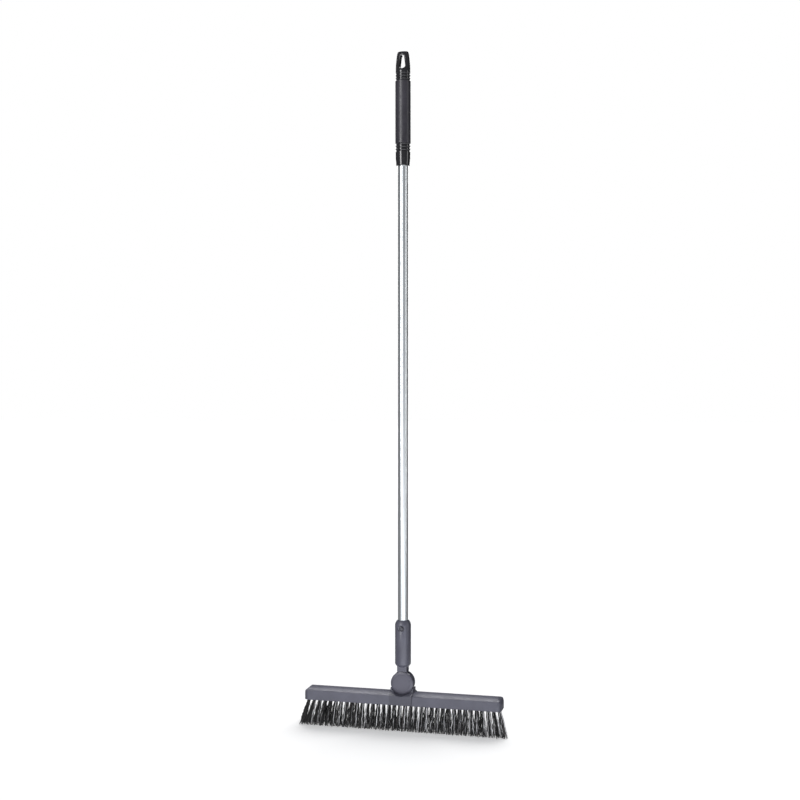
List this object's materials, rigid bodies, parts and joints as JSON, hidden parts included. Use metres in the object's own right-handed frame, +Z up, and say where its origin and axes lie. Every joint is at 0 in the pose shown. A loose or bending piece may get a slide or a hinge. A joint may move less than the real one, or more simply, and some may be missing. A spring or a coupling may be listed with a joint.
{
  "type": "floor broom",
  "caption": "Upright floor broom: long bristle head on a turning knuckle, push-button socket, straight metal tube and a hand grip with a hang loop.",
  "frame": {"origin": "on the floor under the axis of the tube, at the middle of the brush head", "axes": "+X along the brush head, -Y to the front where the push button is, +Z up the tube"},
  "size_m": [0.412, 0.0486, 1.284],
  "materials": {
    "head_plastic": "fine moulded texture, dark blue grey",
    "knuckle_plastic": "fine moulded texture, dark blue grey",
    "socket_plastic": "satin moulded, dark blue grey",
    "cap_plastic": "satin moulded, dark blue grey",
    "button_plastic": "smooth dark grey nylon",
    "guide_plastic": "natural nylon",
    "friction_plastic": "natural acetal",
    "bush_brass": "plain brass",
    "tube_aluminium": "satin drawn tube",
    "grip_gloss": "glossy black",
    "grip_soft": "satin black elastomer",
    "zinc_steel": "zinc plated",
    "spring_steel": "bare spring steel",
    "bristle_mix": "crimped fibres, black, brown, grey and pale mixed"
  },
  "bodies": {
    "head": {"head_block": "head_plastic", "bristle_row_front": "bristle_mix", "bristle_row_inner_front": "bristle_mix", "bristle_row_inner_rear": "bristle_mix", "bristle_row_rear": "bristle_mix", "tuft_staples": "spring_steel", "base_screws": "zinc_steel", "knuckle_base": "knuckle_plastic", "pivot_bush": "bush_brass", "friction_ring_front": "friction_plastic", "friction_ring_rear": "friction_plastic"},
    "handle": {"handle_socket": "socket_plastic", "front_cap": "cap_plastic", "rear_cap": "cap_plastic", "pivot_bolt": "zinc_steel", "pivot_washers": "zinc_steel", "spring_washer": "spring_steel", "pivot_nut": "zinc_steel", "button_guide": "guide_plastic", "button_spring": "spring_steel", "handle_tube": "tube_aluminium", "grip_core": "grip_gloss", "grip_sleeve": "grip_soft"},
    "button": {"snap_button": "button_plastic"}
  },
  "joints": [
    {"name": "head_swivel", "type": "hinge", "parent": "head", "child": "handle", "pos_m": [0, 0, 0.0874], "axis": [0, 1, 0], "range_deg": [-84, 84]},
    {"name": "button_press", "type": "slide", "parent": "handle", "child": "button", "axis": [0, 1, 0], "range_m": [0, 0.0048], "stiffness_N_per_m": 800, "springref_m": -0.006, "deforming": ["button_spring"]}
  ]
}
